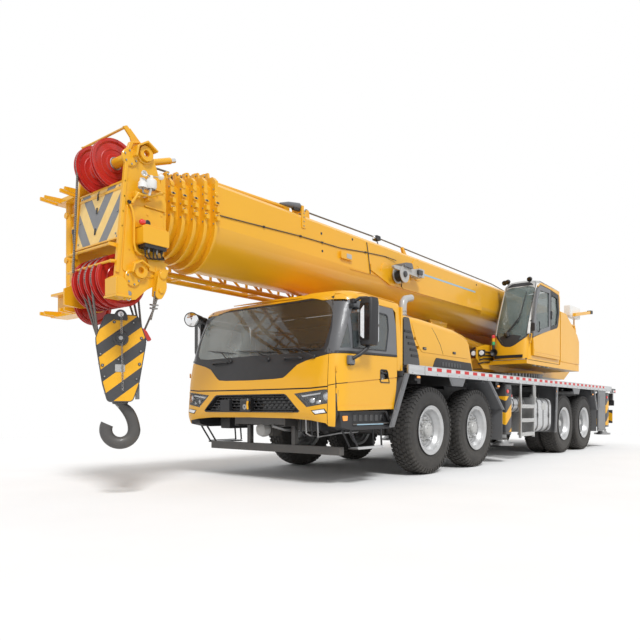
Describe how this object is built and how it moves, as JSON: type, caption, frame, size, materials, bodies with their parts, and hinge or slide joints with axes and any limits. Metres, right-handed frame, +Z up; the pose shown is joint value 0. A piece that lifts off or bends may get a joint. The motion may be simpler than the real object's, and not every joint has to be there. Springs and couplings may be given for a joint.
{
  "type": "mobile crane",
  "caption": "Truck-mounted mobile crane with a long retracted telescopic boom, hook block at the front, low driver's cab, operator's cab and folded outriggers.",
  "frame": {"origin": "on the ground under the middle of the overall length, on the vehicle's centre line", "axes": "+X towards the driver's cab and the boom head, +Y to the vehicle's left side, +Z up"},
  "size_m": [13.7598, 3.2, 3.6],
  "materials": {
    "cab_paint": "gloss",
    "chassis_grey": "satin",
    "deck_plate": "matt, chequered",
    "aluminium_trim": "satin",
    "fender_black": "satin",
    "crane_yellow": "gloss",
    "operator_shell": "gloss",
    "glass_clear": "clear",
    "interior_trim": "matt",
    "engine_iron": "rough",
    "bearing_steel": "oiled",
    "tyre_rubber": "matt",
    "rim_silver": "satin",
    "cylinder_chrome": "polished",
    "sheave_red": "painted",
    "rope_steel": "greased",
    "hook_steel": "painted"
  },
  "bodies": {
    "carrier": {"carrier_frame": "chassis_grey", "deck": "deck_plate", "deck_edging": "aluminium_trim", "fenders": "fender_black", "driver_cab": "cab_paint", "cab_glass": "glass_clear", "cab_interior": "interior_trim", "engine": "engine_iron", "engine_hood": "cab_paint", "axles": "chassis_grey", "side_tanks": "aluminium_trim", "slewing_ring": "bearing_steel"},
    "cab_door_left": {"cab_door_left": "cab_paint"},
    "knuckle_1_left": {"knuckle_1_left": "chassis_grey"},
    "knuckle_2_left": {"knuckle_2_left": "chassis_grey"},
    "wheel_1_left": {"tyre_1_left": "tyre_rubber", "rim_1_left": "rim_silver"},
    "wheel_2_left": {"tyre_2_left": "tyre_rubber", "rim_2_left": "rim_silver"},
    "wheel_3_left": {"tyre_3_left": "tyre_rubber", "rim_3_left": "rim_silver"},
    "wheel_4_left": {"tyre_4_left": "tyre_rubber", "rim_4_left": "rim_silver"},
    "outrigger_beam_front_left": {"outrigger_beam_front_left": "crane_yellow"},
    "outrigger_jack_front_left": {"outrigger_jack_front_left": "cylinder_chrome"},
    "outrigger_beam_rear_left": {"outrigger_beam_rear_left": "crane_yellow"},
    "outrigger_jack_rear_left": {"outrigger_jack_rear_left": "cylinder_chrome"},
    "cab_door_right": {"cab_door_right": "cab_paint"},
    "knuckle_1_right": {"knuckle_1_right": "chassis_grey"},
    "knuckle_2_right": {"knuckle_2_right": "chassis_grey"},
    "wheel_1_right": {"tyre_1_right": "tyre_rubber", "rim_1_right": "rim_silver"},
    "wheel_2_right": {"tyre_2_right": "tyre_rubber", "rim_2_right": "rim_silver"},
    "wheel_3_right": {"tyre_3_right": "tyre_rubber", "rim_3_right": "rim_silver"},
    "wheel_4_right": {"tyre_4_right": "tyre_rubber", "rim_4_right": "rim_silver"},
    "outrigger_beam_front_right": {"outrigger_beam_front_right": "crane_yellow"},
    "outrigger_jack_front_right": {"outrigger_jack_front_right": "cylinder_chrome"},
    "outrigger_beam_rear_right": {"outrigger_beam_rear_right": "crane_yellow"},
    "outrigger_jack_rear_right": {"outrigger_jack_rear_right": "cylinder_chrome"},
    "superstructure": {"turntable": "crane_yellow", "operator_cab": "operator_shell", "operator_glass": "glass_clear", "operator_seat": "interior_trim"},
    "operator_door": {"operator_door": "crane_yellow"},
    "winch_drum": {"winch_drum": "rope_steel"},
    "boom_base": {"boom_base": "crane_yellow", "jib": "crane_yellow"},
    "luff_barrel": {"luff_barrel": "crane_yellow"},
    "luff_rod": {"luff_rod": "cylinder_chrome"},
    "boom_section_2": {"boom_section_2": "crane_yellow"},
    "boom_section_3": {"boom_section_3": "crane_yellow"},
    "boom_section_4": {"boom_section_4": "crane_yellow"},
    "boom_section_5": {"boom_section_5": "crane_yellow"},
    "boom_tip": {"boom_tip": "crane_yellow", "head_sheaves": "sheave_red"},
    "hook_block": {"hook_block": "hook_steel"},
    "hook": {"hook": "hook_steel"}
  },
  "joints": [
    {"name": "cab_door_left_hinge", "type": "hinge", "parent": "carrier", "child": "cab_door_left", "pos_m": [4.604, 1.368, 1.2], "axis": [0, 0, -1], "range_deg": [0, 70]},
    {"name": "steer_1_left", "type": "hinge", "parent": "carrier", "child": "knuckle_1_left", "pos_m": [2.49, 0.85, 0.613], "axis": [0, 0, 1], "range_deg": [-34, 34]},
    {"name": "steer_2_left", "type": "hinge", "parent": "carrier", "child": "knuckle_2_left", "pos_m": [1.07, 0.85, 0.613], "axis": [0, 0, 1], "range_deg": [-22.1, 22.1]},
    {"name": "wheel_1_left_spin", "type": "hinge", "parent": "knuckle_1_left", "child": "wheel_1_left", "pos_m": [2.49, 1.145, 0.613], "axis": [0, 1, 0], "continuous": true},
    {"name": "wheel_2_left_spin", "type": "hinge", "parent": "knuckle_2_left", "child": "wheel_2_left", "pos_m": [1.07, 1.145, 0.613], "axis": [0, 1, 0], "continuous": true},
    {"name": "wheel_3_left_spin", "type": "hinge", "parent": "carrier", "child": "wheel_3_left", "pos_m": [-3.05, 1.145, 0.613], "axis": [0, 1, 0], "continuous": true},
    {"name": "wheel_4_left_spin", "type": "hinge", "parent": "carrier", "child": "wheel_4_left", "pos_m": [-4.4, 1.145, 0.613], "axis": [0, 1, 0], "continuous": true},
    {"name": "outrigger_beam_front_left_slide", "type": "slide", "parent": "carrier", "child": "outrigger_beam_front_left", "axis": [0, 1, 0], "range_m": [0, 1.95]},
    {"name": "outrigger_jack_front_left_slide", "type": "slide", "parent": "outrigger_beam_front_left", "child": "outrigger_jack_front_left", "axis": [0, 0, -1], "range_m": [0, 0.65]},
    {"name": "outrigger_beam_rear_left_slide", "type": "slide", "parent": "carrier", "child": "outrigger_beam_rear_left", "axis": [0, 1, 0], "range_m": [0, 1.95]},
    {"name": "outrigger_jack_rear_left_slide", "type": "slide", "parent": "outrigger_beam_rear_left", "child": "outrigger_jack_rear_left", "axis": [0, 0, -1], "range_m": [0, 0.65]},
    {"name": "cab_door_right_hinge", "type": "hinge", "parent": "carrier", "child": "cab_door_right", "pos_m": [4.604, -1.368, 1.2], "axis": [0, 0, 1], "range_deg": [0, 70]},
    {"name": "steer_1_right", "type": "hinge", "parent": "carrier", "child": "knuckle_1_right", "pos_m": [2.49, -0.85, 0.613], "axis": [0, 0, 1], "range_deg": [-34, 34]},
    {"name": "steer_2_right", "type": "hinge", "parent": "carrier", "child": "knuckle_2_right", "pos_m": [1.07, -0.85, 0.613], "axis": [0, 0, 1], "range_deg": [-22.1, 22.1]},
    {"name": "wheel_1_right_spin", "type": "hinge", "parent": "knuckle_1_right", "child": "wheel_1_right", "pos_m": [2.49, -1.145, 0.613], "axis": [0, 1, 0], "continuous": true},
    {"name": "wheel_2_right_spin", "type": "hinge", "parent": "knuckle_2_right", "child": "wheel_2_right", "pos_m": [1.07, -1.145, 0.613], "axis": [0, 1, 0], "continuous": true},
    {"name": "wheel_3_right_spin", "type": "hinge", "parent": "carrier", "child": "wheel_3_right", "pos_m": [-3.05, -1.145, 0.613], "axis": [0, 1, 0], "continuous": true},
    {"name": "wheel_4_right_spin", "type": "hinge", "parent": "carrier", "child": "wheel_4_right", "pos_m": [-4.4, -1.145, 0.613], "axis": [0, 1, 0], "continuous": true},
    {"name": "outrigger_beam_front_right_slide", "type": "slide", "parent": "carrier", "child": "outrigger_beam_front_right", "axis": [0, -1, 0], "range_m": [0, 1.95]},
    {"name": "outrigger_jack_front_right_slide", "type": "slide", "parent": "outrigger_beam_front_right", "child": "outrigger_jack_front_right", "axis": [0, 0, -1], "range_m": [0, 0.65]},
    {"name": "outrigger_beam_rear_right_slide", "type": "slide", "parent": "carrier", "child": "outrigger_beam_rear_right", "axis": [0, -1, 0], "range_m": [0, 1.95]},
    {"name": "outrigger_jack_rear_right_slide", "type": "slide", "parent": "outrigger_beam_rear_right", "child": "outrigger_jack_rear_right", "axis": [0, 0, -1], "range_m": [0, 0.65]},
    {"name": "slewing", "type": "hinge", "parent": "carrier", "child": "superstructure", "pos_m": [-2.76, 0, 1.6], "axis": [0, 0, 1], "continuous": true},
    {"name": "operator_door_slide", "type": "slide", "parent": "superstructure", "child": "operator_door", "axis": [-1, 0, 0], "range_m": [0, 0.7]},
    {"name": "winch_spin", "type": "hinge", "parent": "superstructure", "child": "winch_drum", "pos_m": [-6.06, 0, 2.7], "axis": [0, 1, 0], "continuous": true},
    {"name": "boom_luff", "type": "hinge", "parent": "superstructure", "child": "boom_base", "pos_m": [-4.91, 0, 2.85], "axis": [0, -1, 0], "range_deg": [0, 80]},
    {"name": "luff_barrel_tilt", "type": "hinge", "parent": "superstructure", "child": "luff_barrel", "pos_m": [-3.21, 0, 1.98], "axis": [0, -1, 0], "range_deg": [0, 88]},
    {"name": "luff_rod_slide", "type": "slide", "parent": "luff_barrel", "child": "luff_rod", "axis": [0.9956, 0, 0.0937], "range_m": [0, 2.4]},
    {"name": "boom_section_2_slide", "type": "slide", "parent": "boom_base", "child": "boom_section_2", "axis": [1, 0, 0], "range_m": [0, 9.5]},
    {"name": "boom_section_3_slide", "type": "slide", "parent": "boom_section_2", "child": "boom_section_3", "axis": [1, 0, 0], "range_m": [0, 9.5]},
    {"name": "boom_section_4_slide", "type": "slide", "parent": "boom_section_3", "child": "boom_section_4", "axis": [1, 0, 0], "range_m": [0, 9.5]},
    {"name": "boom_section_5_slide", "type": "slide", "parent": "boom_section_4", "child": "boom_section_5", "axis": [1, 0, 0], "range_m": [0, 9.5]},
    {"name": "boom_tip_slide", "type": "slide", "parent": "boom_section_5", "child": "boom_tip", "axis": [1, 0, 0], "range_m": [0, 9.5]},
    {"name": "hook_block_swing", "type": "hinge", "parent": "boom_tip", "child": "hook_block", "pos_m": [6.61, 0, 2.15], "axis": [0, -1, 0], "range_deg": [-80, 0]},
    {"name": "hook_swivel", "type": "hinge", "parent": "hook_block", "child": "hook", "pos_m": [6.48, 0, 1], "axis": [0, 0, 1], "continuous": true}
  ],
  "couplings": [
    {"joint": "steer_1_right", "follows": "steer_1_left", "ratio": 1},
    {"joint": "steer_2_left", "follows": "steer_1_left", "ratio": 0.65},
    {"joint": "steer_2_right", "follows": "steer_1_left", "ratio": 0.65},
    {"joint": "luff_barrel_tilt", "follows": "boom_luff", "ratio": 1.0915},
    {"joint": "luff_rod_slide", "follows": "boom_luff", "m_per_rad": 1.7106},
    {"joint": "hook_block_swing", "follows": "boom_luff", "ratio": -1}
  ]
}
